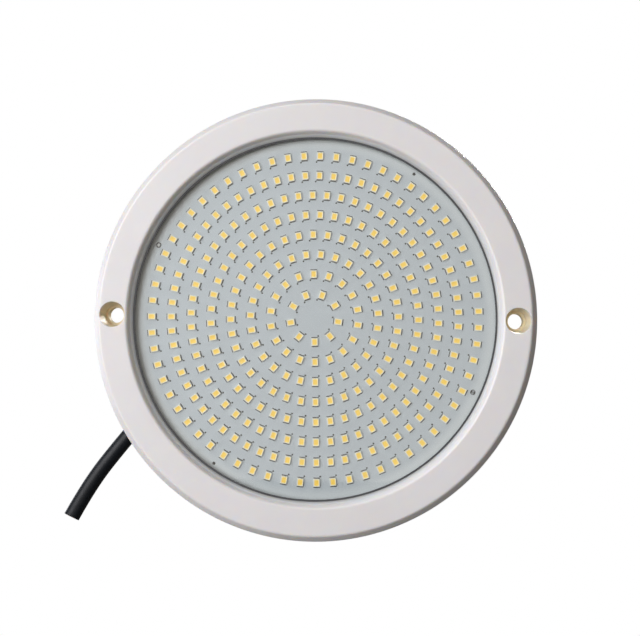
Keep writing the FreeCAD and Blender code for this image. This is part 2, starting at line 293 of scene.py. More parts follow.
def ring_abs():
    """The ring is a little translucent. Painted shade darkens its inner slope towards the seal, and a
    painted warm light tones the screw wells ivory, standing for light through the thin plastic.
    """
    made, tree, shader = moulded_abs("moulded_ring_abs", "E3E1E2", "E9E8E9", 0.36)
    shader.inputs["Subsurface Weight"].default_value = 0.6
    shader.inputs["Subsurface Radius"].default_value = (1.0, 0.74, 0.48)
    shader.inputs["Subsurface Scale"].default_value = 2.8 * MM
    # Painted shade: the ring's inner slope darkens by radius towards the seal, standing for the shadow
    # there.
    lip_painted_shade = node(
        tree, "ShaderNodeMapRange",
        {"Value": distance_from_axis(tree), "From Min": (LIP_R - 0.2) * MM,
         "From Max": (LIP_R + 1.8) * MM, "To Min": 1.0, "To Max": 0.0},
        interpolation_type="SMOOTHSTEP",
    )
    overlay(tree, shader, lip_painted_shade.outputs["Result"], "DBD8CC", blend_type="MULTIPLY")
    # Painted warm light: the screw wells turn ivory, standing for light shining through the thin plastic
    # round them.
    mirrored = node(
        tree, "ShaderNodeVectorMath", {0: flattened(tree)}, operation="ABSOLUTE"
    ).outputs["Vector"]
    from_well = node(
        tree, "ShaderNodeVectorMath", {0: mirrored, 1: (WALL_SCREW_X * MM, 0.0, 0.0)},
        operation="DISTANCE",
    ).outputs["Value"]
    well_painted_warm_light = node(
        tree, "ShaderNodeMapRange",
        {"Value": from_well, "From Min": (WELL_R - 0.4) * MM, "From Max": WELL_R * MM,
         "To Min": 1.0, "To Max": 0.0},
    )
    overlay(tree, shader, well_painted_warm_light.outputs["Result"], "E6D9BC")
    return made


ring_white = ring_abs()
shell_white = moulded_abs("moulded_shell_abs", "DCDBD8", "E4E3E1", 0.42)[0]
print("moulded ABS:", ring_white.name, shell_white.name)

# %% [markdown]
# The cable gland is nylon with short glass fibres in it, black, for strength. The fibres come up to
# the skin here and there, so it is duller than ABS, with a coarser, mottled surface.

# %% Glass-filled nylon


def moulded_nylon():
    made, tree, shader = new_material("moulded_nylon", "1C1D1F", 0.5, IOR=1.53)
    tint(tree, shader, grain(tree, 3, 4.0), "17181A", "26272A")
    polish(tree, shader, grain(tree, 1.5, 3.0), 0.42, 0.62)
    relief(tree, shader, grain(tree, 0.4, 2.0), 0.015)
    return made


nylon = moulded_nylon()
print("glass-filled nylon:", nylon.name)

# %% [markdown]
# The window is solvent-polished polycarbonate, clear and glossy. Glass blocks the direct light of
# lamps in a path tracer, which would leave the board behind it dark, so rays towards a lamp meet a
# Transparent shader instead. Rays scattered by the board do too, or the lamp would count twice.

# %% Clear polycarbonate


def clear_polycarbonate():
    made, tree, shader = new_material("clear_polycarbonate", "FAFCFC", 0.03, IOR=1.58)
    shader.inputs["Transmission Weight"].default_value = 1.0
    through = node(tree, "ShaderNodeBsdfTransparent", {"Color": colour("F4F7F7")})
    rays = node(tree, "ShaderNodeLightPath")
    straight = node(
        tree, "ShaderNodeMath",
        {0: rays.outputs["Is Shadow Ray"], 1: rays.outputs["Is Diffuse Ray"]},
        operation="MAXIMUM",
    )
    mix = node(
        tree, "ShaderNodeMixShader",
        {0: straight.outputs[0], 1: shader.outputs[0], 2: through.outputs[0]},
    )
    tree.links.new(mix.outputs[0], tree.nodes["Material Output"].inputs["Surface"])
    return made


window_clear = clear_polycarbonate()
print("clear polycarbonate:", window_clear.name)

# %% [markdown]
# Rubber comes in three kinds here: the moulded black seals, the pale silicone gasket, and the extruded
# jacket of the cable. All are dull, because their skin scatters light. The seal under the ring's lip
# has bloomed, as old seals do: a thin film has come to its surface and greyed it. The jacket is
# smoother than the seals, with a soft sheen and very slight dents, a couple of millimetres apart.

# %% Rubbers


def moulded_rubber(name, low, high, size_mm=1.2):
    made, tree, shader = new_material(name, high, 0.7, IOR=1.52)
    tint(tree, shader, grain(tree, size_mm * 3, 3.0), low, high)
    polish(tree, shader, grain(tree, size_mm, 2.0), 0.6, 0.82)
    relief(tree, shader, grain(tree, size_mm / 3, 2.0), 0.01)
    return made


def extruded_rubber():
    made, tree, shader = new_material(
        "extruded_rubber", "0A1017", 0.45, IOR=1.52, Specular_IOR_Level=0.32,
    )
    tint(tree, shader, grain(tree, 9, 4.0), "080D14", "0F161D")
    polish(tree, shader, grain(tree, 2.5, 3.0), 0.4, 0.52)
    relief(tree, shader, grain(tree, 2.0, 1.0), 0.006)
    return made


seal_rubber = moulded_rubber("moulded_black_rubber", "1B1A18", "262523")
bloomed_rubber = moulded_rubber("bloomed_black_rubber", "454648", "515254")
silicone = moulded_rubber("moulded_silicone", "B9B6AE", "C8C5BD")
jacket_rubber = extruded_rubber()
print("rubbers:", seal_rubber.name, bloomed_rubber.name, silicone.name, jacket_rubber.name)

# %% [markdown]
# The board is aluminium with a baked white solder mask, a paint that pools slightly between the
# copper tracks under it. The eye sees a pale blue-grey with a soft sheen and the faintest orange peel.
# The small parts on it are white PPA plastic, yellow phosphor in silicone, tin solder and black ink.

# %% The board's materials


def solder_mask():
    """Painted light: the mask lightens over its last 5 mm towards the edge of the board, to lift the
    shadow that the ring casts there.
    """
    made, tree, shader = new_material("white_solder_mask", "C8CDD2", 0.42, IOR=1.5)
    tint(tree, shader, grain(tree, 14, 4.0), "C5CACF", "CBD0D5")
    # Painted light: a lighter tone by radius near the board's edge, standing for light thrown back from
    # the ring.
    edge_painted_light = node(
        tree, "ShaderNodeMapRange",
        {"Value": distance_from_axis(tree), "From Min": 75.5 * MM, "From Max": 80.5 * MM},
        interpolation_type="SMOOTHSTEP",
    )
    overlay(tree, shader, edge_painted_light.outputs["Result"], "DEE1E3")
    polish(tree, shader, grain(tree, 4, 3.0), 0.36, 0.5)
    relief(tree, shader, grain(tree, 0.9, 2.0), 0.006)
    return made


def phosphor():
    """Yellow, paler at the rim, where less phosphor lies. A faint painted glow, an emission, brightens
    it though the LED is off.
    """
    made, tree, shader = new_material("yellow_phosphor", "FBD468", 0.4, IOR=1.45)
    # Painted light: the phosphor glows faintly by emission, though the LED is off.
    shader.inputs["Emission Color"].default_value = colour("FFC64A")
    shader.inputs["Emission Strength"].default_value = 0.19
    rim = node(tree, "ShaderNodeAttribute", attribute_name="rim").outputs["Fac"]
    tint(tree, shader, rim, "FFD55C", "FBEAB2")
    relief(tree, shader, grain(tree, 0.2, 2.0), 0.01)
    return made


def plain_small(name, low, high, roughness, size_mm=0.8, **constants):
    """A small part's material: two close tones and a slightly uneven gloss."""
    made, tree, shader = new_material(name, high, roughness, **constants)
    tint(tree, shader, grain(tree, size_mm, 3.0), low, high)
    polish(tree, shader, grain(tree, size_mm / 2, 2.0), roughness - 0.06, roughness + 0.08)
    return made


mask_white = solder_mask()
led_white = plain_small("white_ppa", "F3EEDD", "FBF8EE", 0.38)
led_yellow = phosphor()
tin_solder = plain_small("tin_solder", "8B8C8B", "B4B4B2", 0.42, 0.5, Metallic=1.0)
board_ink = plain_small("black_board_ink", "262A28", "343835", 0.6)
print("board:", mask_white.name, led_white.name, led_yellow.name, tin_solder.name, board_ink.name)

# %% [markdown]
# What sits behind the window is never seen whole, but it is all there, and each part gets the finish
# of the real one: green glass-epoxy laminate, black epoxy chips, tan ceramic capacitors, grey ferrite
# coils, vinyl-covered cores and black potting resin.

# %% Electronic and metal materials


def passivated_stainless():
    """Cold-headed stainless: bright, with fine turning marks left from the head die."""
    made, tree, shader = new_material("passivated_stainless", "B9BABB", 0.3, Metallic=1.0)
    tint(tree, shader, grain(tree, 0.7, 3.0), "A9AAAB", "C2C3C4")
    polish(tree, shader, grain(tree, 0.3, 2.0), 0.22, 0.4)
    relief(tree, shader, grain(tree, 0.25, 1.0), 0.004)
    return made


def glass_epoxy():
    """Glass cloth in epoxy under green mask: the weave shows as a faint square pattern."""
    made, tree, shader = new_material("glass_epoxy_laminate", "1F5B3A", 0.45, IOR=1.55)
    place = node(tree, "ShaderNodeTexCoord").outputs["Object"]
    weave = node(tree, "ShaderNodeTexChecker", {"Vector": place, "Scale": 1 / (0.5 * MM)})
    tint(tree, shader, weave.outputs["Fac"], "1B5235", "236642")
    return made


stainless = passivated_stainless()
laminate = glass_epoxy()
chip_epoxy = plain_small("black_mould_epoxy", "191A1B", "252627", 0.55)
ceramic = plain_small("tan_ceramic", "9C7C5A", "B3926D", 0.5)
ferrite = plain_small("sintered_ferrite", "3E3F41", "505154", 0.65)
vinyl = plain_small("extruded_vinyl", "8C8F92", "A3A6A9", 0.45)
copper = plain_small("drawn_copper", "B66A45", "D08A62", 0.3, 0.4, Metallic=1.0)
resin = plain_small("black_potting_resin", "222322", "2C2D2C", 0.3, 6.0)
print(len(bpy.data.materials), "materials so far")

# %% [markdown]
# ## The cable
#
# The cable leaves the gland straight back from the wall plate, then turns to the left and hangs down.
# It is stiff, so its bends are wide. The line is a NURBS curve whose control points are the corners of
# the CAD tube's route. That gives one smooth bend after another, as a real cable has, where straight
# runs and arcs would look like bent wire. Only the last two points differ from the tube's: they bring
# the free end a few millimetres forward. The curve's own bevel makes the round jacket.

# %% Cable
CABLE_D = 8.4
CABLE_ROUTE = (
    (0.0, 12.0, 0.0),
    (0.0, 36.0, 0.0),
    (-11.4, 56.8, -3.7),
    (-31.2, 68.8, -10.1),
    (-58.0, 70.5, -20.5),
    (-84.5, 71.0, -40.5),
    (-105.6, 70.0, -66.0),
    (-121.7, 69.6, -87.4),
    (-129.3, 63.5, -104.1),
)


def nurbs_line(name, points):
    line = bpy.data.curves.new(name, "CURVE")
    line.dimensions = "3D"
    spline = line.splines.new("NURBS")
    spline.points.add(len(points) - 1)
    for knot, point in zip(spline.points, points):
        knot.co = (*(Vector(point) * MM), 1.0)
    spline.order_u = 3
    spline.use_endpoint_u = True
    spline.use_smooth = True
    line.resolution_u = 24
    return line


cable_line = nurbs_line("cable_jacket", CABLE_ROUTE)
cable_line.bevel_depth = CABLE_D / 2 * MM
cable_line.bevel_resolution = 7
cable_line.use_fill_caps = True
cable_line.materials.append(jacket_rubber)
cable = new_object("cable_jacket", cable_line)
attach(cable, "root")
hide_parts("cable")

# %% [markdown]
# The far end is cut square with a cable cutter. Its face shows the two cores in their grey vinyl, and
# in each core the ends of seven copper wires, one in the middle and six round it. Cores and wires are
# short stubs that start a millimetre inside the jacket and stand a hair proud of its face.

# %% The cut end of the cable
CORE_R = 1.25
CORE_OFFSET = 1.45
CORE_STANDS_OUT = 0.04
WIRE_R = 0.27
WIRE_RING_R = 0.58
WIRE_STANDS_OUT = 0.08
STUB_INSIDE = 1.0


def stub(bm, centre, along, radius, length, segments):
    """A short closed rod that starts at centre and points along."""
    turn = along.to_track_quat("Z", "Y").to_matrix().to_4x4()
    turn.translation = centre + along * (length / 2)
    bmesh.ops.create_cone(
        bm, cap_ends=True, segments=segments, radius1=radius, radius2=radius,
        depth=length, matrix=turn,
    )


end = Vector(CABLE_ROUTE[-1]) * MM
along = (end - Vector(CABLE_ROUTE[-2]) * MM).normalized()
across = along.cross(Vector((0, 1, 0))).normalized()
up = along.cross(across)
cores = bmesh.new()
wires = bmesh.new()
for side in (-1, 1):
    middle = end + across * (side * CORE_OFFSET * MM) - along * (STUB_INSIDE * MM)
    stub(cores, middle, along, CORE_R * MM, (STUB_INSIDE + CORE_STANDS_OUT) * MM, 24)
    for i in range(7):
        reach = 0.0 if i == 6 else WIRE_RING_R * MM
        turn = math.radians(60 * i)
        place = middle + (across * math.cos(turn) + up * math.sin(turn)) * reach
        stub(wires, place, along, WIRE_R * MM, (STUB_INSIDE + WIRE_STANDS_OUT) * MM, 10)
for name, bm, material, slot in (
    ("cable_core_ends", cores, vinyl, "core_insulation"),
    ("cable_wire_ends", wires, copper, "solder"),
):
    piece = new_object(name, mesh_from(bm, name))
    finish_piece(piece, material)

# %% [markdown]
# ## The ring
#
# The ring is a solid of revolution, so its shape is one outline carried round a circle. The outline's
# corners are points of a small mesh, each with the radius that its corner is rounded to. The tree
# rounds them with Fillet Curve and carries them round with Curve to Mesh. A boolean then takes out
# the two screw wells. A subdivided cylinder would need its edge loops placed by hand, and its
# corners would not have the tool's true radii.
#
# Curve to Mesh measures an outline's x outwards from the rail circle and its y downwards, which is
# why `section_mesh` writes each corner as (radius - rail radius, -height).

# %% Outlines for turned pieces
RAIL_R = 90.0


def section_mesh(name, corners):
    """A closed outline of (radius, height, rounding) corners, in millimetres."""
    mesh = bpy.data.meshes.new(name)
    points = [((r - RAIL_R) * MM, -z * MM, 0) for r, z, _ in corners]
    count = len(corners)
    mesh.from_pydata(points, [(i, (i + 1) % count) for i in range(count)], [])
    rounding = mesh.attributes.new("rounding", "FLOAT", "POINT")
    for item, corner in zip(rounding.data, corners):
        item.value = corner[2] * MM
    return mesh


def turned_solid(tree, outline, segments):
    """Nodes that round an outline's corners and carry it round the axis."""
    rounding = node(tree, "GeometryNodeInputNamedAttribute", {"Name": "rounding"})
    line = node(tree, "GeometryNodeMeshToCurve", {"Mesh": outline})
    rounded = node(
        tree, "GeometryNodeFilletCurve",
        {"Curve": line.outputs[0], "Count": 6, "Radius": rounding.outputs[0]}, mode="POLY",
    )
    rail = node(
        tree, "GeometryNodeCurvePrimitiveCircle",
        {"Resolution": segments, "Radius": RAIL_R * MM},
    )
    solid = node(
        tree, "GeometryNodeCurveToMesh",
        {"Curve": rail.outputs[0], "Profile Curve": rounded.outputs[0]},
    )
    return node(tree, "GeometryNodeFlipFaces", {"Mesh": solid.outputs[0]}).outputs[0]


print("rail radius", RAIL_R, "mm")

# %% [markdown]
# Screws, ribs, wells and LEDs all stand in circles. `moved_out` sends each point of a cloud to its own
# angle and radius. `in_a_circle` spaces copies of one shape evenly with it and turns each outwards.

# %% Circles of copies


def moved_out(tree, points, radius, angle):
    """Nodes that set points at a radius and an angle about Z."""
    turn = node(tree, "ShaderNodeCombineXYZ", {"Z": angle}).outputs[0]
    out = node(tree, "ShaderNodeCombineXYZ", {"X": radius}).outputs[0]
    place = node(
        tree, "ShaderNodeVectorRotate", {"Vector": out, "Rotation": turn},
        rotation_type="EULER_XYZ",
    ).outputs[0]
    inputs = {"Geometry": points.outputs[0], "Position": place}
    return node(tree, "GeometryNodeSetPosition", inputs).outputs[0]


def facing(tree, angle):
    """A rotation by an angle about Z."""
    euler = node(tree, "ShaderNodeCombineXYZ", {"Z": angle}).outputs[0]
    return node(tree, "FunctionNodeEulerToRotation", {"Euler": euler}).outputs[0]


def in_a_circle(tree, shape, count, radius, first_angle):
    """Nodes that put count copies of a shape on a circle, each turned to face outwards."""
    points = node(tree, "GeometryNodePoints", {"Count": count})
    index = node(tree, "GeometryNodeInputIndex").outputs[0]
    step = node(tree, "ShaderNodeMath", {0: math.tau, 1: count}, operation="DIVIDE").outputs[0]
    turn = node(
        tree, "ShaderNodeMath", {0: index, 1: step, 2: first_angle}, operation="MULTIPLY_ADD"
    ).outputs[0]
    copies = node(
        tree, "GeometryNodeInstanceOnPoints",
        {"Points": moved_out(tree, points, radius, turn), "Instance": shape,
         "Rotation": facing(tree, turn)},
    )
    return node(tree, "GeometryNodeRealizeInstances", {"Geometry": copies.outputs[0]}).outputs[0]


print("one step of eight is", 360 / 8, "degrees")

# %% [markdown]
# The booleans below join and cut with plain cylinders and cones. The cone primitive of Geometry Nodes
# stands on its base, and with two equal radii it is a cylinder. So `rod` uses it for both, and lifts
# it to span the heights that are asked for.

# %% Rods and cones inside a tree


def rod(tree, r_low, r_high, z_low, z_high, vertices=64):
    shape = node(
        tree, "GeometryNodeMeshCone",
        {"Vertices": vertices, "Radius Top": r_high * MM, "Radius Bottom": r_low * MM,
         "Depth": (z_high - z_low) * MM},
    )
    return node(
        tree, "GeometryNodeTransform",
        {"Geometry": shape.outputs[0], "Translation": (0, 0, z_low * MM)},
    ).outputs[0]


def boolean(tree, operation, first, others):
    """Union joins everything in others with first; difference cuts others out of first."""
    made = node(
        tree, "GeometryNodeMeshBoolean", {"Self Intersection": True},
        operation=operation, solver="EXACT",
    )
    main = made.inputs["Mesh 2"] if operation == "UNION" else made.inputs["Mesh 1"]
    tree.links.new(first, main)
    for other in others:
        tree.links.new(other, made.inputs["Mesh 2"])
    return made.outputs[0]


print("booleans are exact")

# %% [markdown]
# The ring's own numbers come from the CAD model. The window lies 3.2 mm below the face, behind a lip
# that slopes down in a shallow cove. The side wall has a wide chamfer up to the face. The ring is hollow
# behind, with a skirt that goes down round the window, because a thick moulding would shrink and sink.

# %% The ring's outline
OUTER_R = 100.0
THICKNESS = 12.0
FACE_R_OUT = 97.0
FACE_R_IN = 84.6
COVE_R = 83.4
COVE_HEIGHT = 9.9
LIP_BOTTOM = 9.1
SIDE_HEIGHT = 8.2
WALL = 2.4
SKIRT_R_IN = 85.4
UNDER_FACE = THICKNESS - WALL

ring_section = section_mesh("ring_section", (
    (OUTER_R, 0.0, 0.4),
    (OUTER_R, SIDE_HEIGHT, 1.6),
    (FACE_R_OUT, THICKNESS, 1.6),
    (FACE_R_IN, THICKNESS, 1.4),
    (COVE_R, COVE_HEIGHT, 1.4),
    (LIP_R, LIP_BOTTOM, 0.0),
    (SKIRT_R_IN, LIP_BOTTOM, 0.0),
    (SKIRT_R_IN, WALL, 0.0),
    (SKIRT_R_IN + 2.0, WALL, 0.0),
    (SKIRT_R_IN + 2.0, UNDER_FACE, 0.0),
    (FACE_R_OUT - 0.9, UNDER_FACE, 0.0),
    (OUTER_R - WALL, SIDE_HEIGHT - 0.8, 0.0),
    (OUTER_R - WALL, 0.0, 0.0),
))

print("ring", 2 * OUTER_R, "mm across,", THICKNESS, "mm deep")

# %% [markdown]
# Each wall screw goes through a tapered well, with a thicker wall round it inside the ring. Eight posts
# take the assembly screws, and sixteen ribs tie the skirt to the side wall. The tree joins them all to
# the turned body in one boolean, and a second one cuts the wells, the pilot holes and the pocket for
# the window. Two faces in one plane can leave open seams in a boolean, so the posts reach a little
# into the face, and the ribs are lifted a hair off the plane of the skirt's edge.

# %% Ring tree
WALL_SCREW_R = 3.5
WELL_FLOOR_R = 4.6
WELL_FLOOR = 4.0
WELL_WALL_R = 6.2
SCREW_TUBE_R = 5.2
SCREW_COUNT = 8
SCREW_CIRCLE_R = 92.3
FIRST_SCREW = math.radians(22.5)
POST_R = 3.2
PILOT_R = 1.45
PILOT_TOP = 9.0
RIB_COUNT = 16
RIB_R_IN = 86.4
RIB_R_OUT = 98.8
RIB_THICKNESS = 1.2
RIB_TOP = 7.4
RIB_LIFT = 0.02

ring_tree, ring_in = new_tree(
    "moulded_ring", Segments="Int", HoleDistance="Float", PostDistance="Float",
)
body = turned_solid(ring_tree, ring_in["Geometry"], ring_in["Segments"])
tube = rod(ring_tree, SCREW_TUBE_R, SCREW_TUBE_R, 0.0, UNDER_FACE + 0.3)
well_wall = rod(ring_tree, WELL_WALL_R, WELL_WALL_R, WALL, UNDER_FACE + 0.2)
post = rod(ring_tree, POST_R, POST_R, WALL, UNDER_FACE + 0.3, 32)
pilot = rod(ring_tree, PILOT_R, PILOT_R, WALL - 0.1, PILOT_TOP, 16)
at_wells = [
    in_a_circle(ring_tree, shape, 2, ring_in["HoleDistance"], 0.0) for shape in (tube, well_wall)
]
posts, pilots = [
    in_a_circle(ring_tree, shape, SCREW_COUNT, ring_in["PostDistance"], FIRST_SCREW)
    for shape in (post, pilot)
]
rib = node(
    ring_tree, "GeometryNodeMeshCube",
    {"Size": Vector((RIB_R_OUT - RIB_R_IN, RIB_THICKNESS, RIB_TOP - WALL)) * MM},
)
rib = node(
    ring_tree, "GeometryNodeTransform",
    {"Geometry": rib.outputs[0],
     "Translation": (0, 0, ((WALL + RIB_TOP) / 2 + RIB_LIFT) * MM)},
).outputs[0]
rib_middle = (RIB_R_IN + RIB_R_OUT) / 2 * MM
ribs = in_a_circle(ring_tree, rib, RIB_COUNT, rib_middle, math.pi / RIB_COUNT)
solid = boolean(ring_tree, "UNION", body, at_wells + [posts, ribs])
well = rod(ring_tree, WELL_FLOOR_R, WELL_R + 0.03, WELL_FLOOR, THICKNESS + 0.2)
through = rod(ring_tree, WALL_SCREW_R, WALL_SCREW_R, -1.0, WELL_FLOOR + 0.1)
pocket = rod(ring_tree, SKIRT_R_IN + 0.01, SKIRT_R_IN + 0.01, -1.0, LIP_BOTTOM + 0.01, 360)
wells = [
    in_a_circle(ring_tree, shape, 2, ring_in["HoleDistance"], 0.0) for shape in (well, through)
]
cut = boolean(ring_tree, "DIFFERENCE", solid, wells + [pocket, pilots])
end_tree(ring_tree, cut, ring_white)
print("ring tree", len(ring_tree.nodes), "nodes")

# %% [markdown]
# The outline goes through the tree and comes out as the ring. Its flat face and its rounded corners
# meet without a crease, so a Weighted Normal modifier gives the large faces the say over the shading.

# %% The ring
ring = grow(
    "ring", ring_tree, ring_section,
    Segments=360, HoleDistance=WALL_SCREW_X * MM, PostDistance=SCREW_CIRCLE_R * MM,
)
finish_piece(ring, ring_white, 40, ["face_ring"])
weighted = ring.modifiers.new("weighted_normals", "WEIGHTED_NORMAL")
weighted.keep_sharp = True
print("ring's lowest corner", [round(min(v.co[i] for v in ring.data.vertices), 4) for i in range(3)])

# %% [markdown]
# ## CAD shapes kept as they are
#
# Where the CAD shape is already the real one, only its shading needs work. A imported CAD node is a
# set of loose triangles, which shade as flat facets. A copy is made from its bare points, its doubles
# are merged, and triangles that share a plane become one face. The copy can then be shaded smooth
# across the curved faces and sharp at the edges, so it takes the node's place. A few parts also get
# the small rounded edges that a mould leaves.

# %% Smooth copies of CAD nodes


def smooth_copy(name, material, edge_mm):
    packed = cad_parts[name].data
    bare = bpy.data.meshes.new(name + "_smooth")
    bare.from_pydata(
        [vert.co for vert in packed.vertices], [], [face.vertices[:] for face in packed.polygons]
    )
    bm = bmesh.new()
    bm.from_mesh(bare)
    bmesh.ops.remove_doubles(bm, verts=bm.verts, dist=0.002 * MM)
    bmesh.ops.dissolve_limit(
        bm, angle_limit=math.radians(0.5), verts=bm.verts, edges=bm.edges
    )
    bm.to_mesh(bare)
    bm.free()
    piece = finish_piece(new_object(name + "_smooth", bare), material, 30, [name])
    if edge_mm:
        edge = piece.modifiers.new("edge_rounding", "BEVEL")
        edge.width = edge_mm * MM
        edge.segments = 2
        edge.limit_method = "ANGLE"
        edge.angle_limit = math.radians(35)
    weighted = piece.modifiers.new("weighted_normals", "WEIGHTED_NORMAL")
    weighted.keep_sharp = True


SMOOTH_NODES = (
    ("window", window_clear, "clear_polycarbonate", 0.0),
    ("front_seal", bloomed_rubber, "black_rubber", 0.0),
    ("rear_gasket", silicone, "silicone", 0.0),
    ("led_board", mask_white, "board_mask", 0.0),
    ("rear_shell", shell_white, "rear_abs", 0.15),
    ("gland_body", nylon, "gland_nylon", 0.25),
    ("gland_o_ring", seal_rubber, "black_rubber", 0.2),
    ("gland_insert", seal_rubber, "black_rubber", 0.0),
    ("gland_cap", nylon, "gland_nylon", 0.2),
    ("cable_cores", vinyl, "core_insulation", 0.0),
    ("link_wires", vinyl, "core_insulation", 0.0),
)
for name, material, slot, edge_mm in SMOOTH_NODES:
    smooth_copy(name, material, edge_mm)

# %% [markdown]
# The small parts on the driver board are square-edged or plainly flat, as the real ones are, and the
# solder and the potting resin have no edge that catches light. Their CAD meshes need no new shading,
# so the CAD nodes stay, and their material slots are filled with the real finishes.

# %% Parts that keep their CAD mesh
KEPT_NODES = {
    "driver_board": laminate,
    "rectifier_diodes": chip_epoxy,
    "chip_capacitors": ceramic,
    "driver_chips": chip_epoxy,
    "power_inductors": ferrite,
    "sense_resistors": chip_epoxy,
    "core_solder": tin_solder,
    "potting_resin": resin,
}
for name, material in KEPT_NODES.items():
    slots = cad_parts[name].material_slots
    for slot in slots:
        slot.material = material
    print(name, len(slots), "slots")

# %% [markdown]
# ## The LEDs
#
# The board carries 315 LEDs on eight rings. The first ring has nine, each further ring has nine more,
# up to the 63 that the two outermost both have. One rule gives every place, so one tree places them:
# it makes eight rows of 63 points, drops the ones a ring has no room for, and turns each to face out.
# The placement machine is not perfect, so each LED is also turned by up to a degree.

# %% LED ring tree
LED_PITCH = 9.02
LED_FIRST_R = 1.207 * LED_PITCH
LED_RINGS = 8
LED_MOST = 63
LED_STEP = 9
BOARD_TURN = 1.8


def led_rings_tree(material):
    tree, given = new_tree(
        "led_rings", Part="Object", FirstRadius="Float", Pitch="Float", FirstAngle="Float",
        Jitter="Float", Seed="Int",
    )

    def maths(operation, *values):
        inputs = dict(enumerate(values))
        return node(tree, "ShaderNodeMath", inputs, operation=operation).outputs[0]

    rows = node(tree, "GeometryNodePoints", {"Count": LED_RINGS * LED_MOST})
    index = node(tree, "GeometryNodeInputIndex").outputs[0]
    ring_number = maths("FLOOR", maths("DIVIDE", index, float(LED_MOST)))
    place_on_ring = maths("MODULO", index, float(LED_MOST))
    full = maths("MULTIPLY_ADD", ring_number, float(LED_STEP), float(LED_STEP))
    count = maths("MINIMUM", full, float(LED_MOST))
    radius = maths("MULTIPLY_ADD", ring_number, given["Pitch"], given["FirstRadius"])
    step = maths("DIVIDE", math.tau, count)
    angle = maths("MULTIPLY_ADD", place_on_ring, step, given["FirstAngle"])
    wobble = node(
        tree, "FunctionNodeRandomValue",
        {2: maths("MULTIPLY", given["Jitter"], -1.0), 3: given["Jitter"], 8: given["Seed"]},
    ).outputs[1]
    spare = maths("GREATER_THAN", maths("ADD", place_on_ring, 0.5), count)
    part = node(tree, "GeometryNodeObjectInfo", {"Object": given["Part"]})
    copies = node(
        tree, "GeometryNodeInstanceOnPoints",
        {"Points": moved_out(tree, rows, radius, angle), "Instance": part.outputs["Geometry"],
         "Rotation": facing(tree, maths("ADD", angle, wobble)),
         "Selection": maths("SUBTRACT", 1.0, spare)},
    )
    end_tree(tree, copies.outputs[0], material)
    return tree


print(LED_RINGS, "rings, first at", LED_FIRST_R, "mm")

# %% [markdown]
# Every part of an LED, from its cup to its solder, is modelled once, lying at the centre of the board.
# `led_rings` hands that mesh to the tree as the part to copy. The four parts get the same seed, so
# those of one LED turn together.

# %% One part on every LED
LED_TURN = math.radians(0.9)


def led_rings(name, part_mesh, material, replaces=(), sharp_angle=32):
    part = new_object(name + "_part", part_mesh)
    piece = grow(
        name, led_rings_tree(material), Part=part, FirstRadius=LED_FIRST_R * MM,
        Pitch=LED_PITCH * MM, FirstAngle=math.radians(270 + BOARD_TURN),
        Jitter=LED_TURN, Seed=4,
    )
    bpy.data.objects.remove(part)
    return finish_piece(piece, material, sharp_angle, replaces)


print("each LED turns by up to", round(math.degrees(LED_TURN), 2), "degrees")

# %% [markdown]
# One LED is a white plastic cup, 3.5 by 2.8 mm, on two metal pads. The loops below are rounded
# rectangles stacked from the board up: outer wall, rim, and the slope down to the phosphor. Each
# LED is repeated 315 times, so a loop has 16 points and no more.

# %% LED cup
BOARD_TOP = 6.0
LED_LONG = 3.5
LED_WIDE = 2.8
LED_TOP = BOARD_TOP + 0.7
PHOSPHOR_MARGIN = 0.35
HOLE_LONG = LED_LONG - 2 * PHOSPHOR_MARGIN
HOLE_WIDE = LED_WIDE - 2 * PHOSPHOR_MARGIN


def rounded_loop(bm, long, wide, corner, z):
    """16 vertices round a rectangle with rounded corners, in millimetres."""
    loop = []
    for quarter in range(4):
        side_x = 1 if quarter in (0, 3) else -1
        side_y = 1 if quarter in (0, 1) else -1
        for i in range(4):
            turn = math.radians(90 * quarter + 30 * i)
            x = side_x * (long / 2 - corner) + corner * math.cos(turn)
            y = side_y * (wide / 2 - corner) + corner * math.sin(turn)
            loop.append(bm.verts.new((x * MM, y * MM, z * MM)))
    return loop


def bridge(bm, lower, upper):
    count = len(lower)
    for i in range(count):
        j = (i + 1) % count
        bm.faces.new((lower[i], lower[j], upper[j], upper[i]))


def led_package():
    bm = bmesh.new()
    loops = [
        rounded_loop(bm, LED_LONG, LED_WIDE, 0.12, BOARD_TOP + 0.02),
        rounded_loop(bm, LED_LONG, LED_WIDE, 0.12, LED_TOP - 0.06),
        rounded_loop(bm, LED_LONG - 0.1, LED_WIDE - 0.1, 0.12, LED_TOP),
        rounded_loop(bm, HOLE_LONG + 0.16, HOLE_WIDE + 0.16, 0.55, LED_TOP),
        rounded_loop(bm, HOLE_LONG, HOLE_WIDE, 0.5, LED_TOP - 0.25),
    ]
    for lower, upper in zip(loops, loops[1:]):
        bridge(bm, lower, upper)
    bm.faces.new(reversed(loops[0]))
    bm.faces.new(loops[-1])
    return mesh_from(bm, "led_package")


led_rings("led_cups", led_package(), led_white, ["led_packages"])

# %% [markdown]
# Silicone with yellow phosphor fills the cup and dries a little hollow. Less phosphor lies over its
# edge, so the yellow pales there. Each loop of points carries an attribute, `rim`, that runs from 0
# inside to 1 at the edge, and the material reads it.

# %% LED phosphor


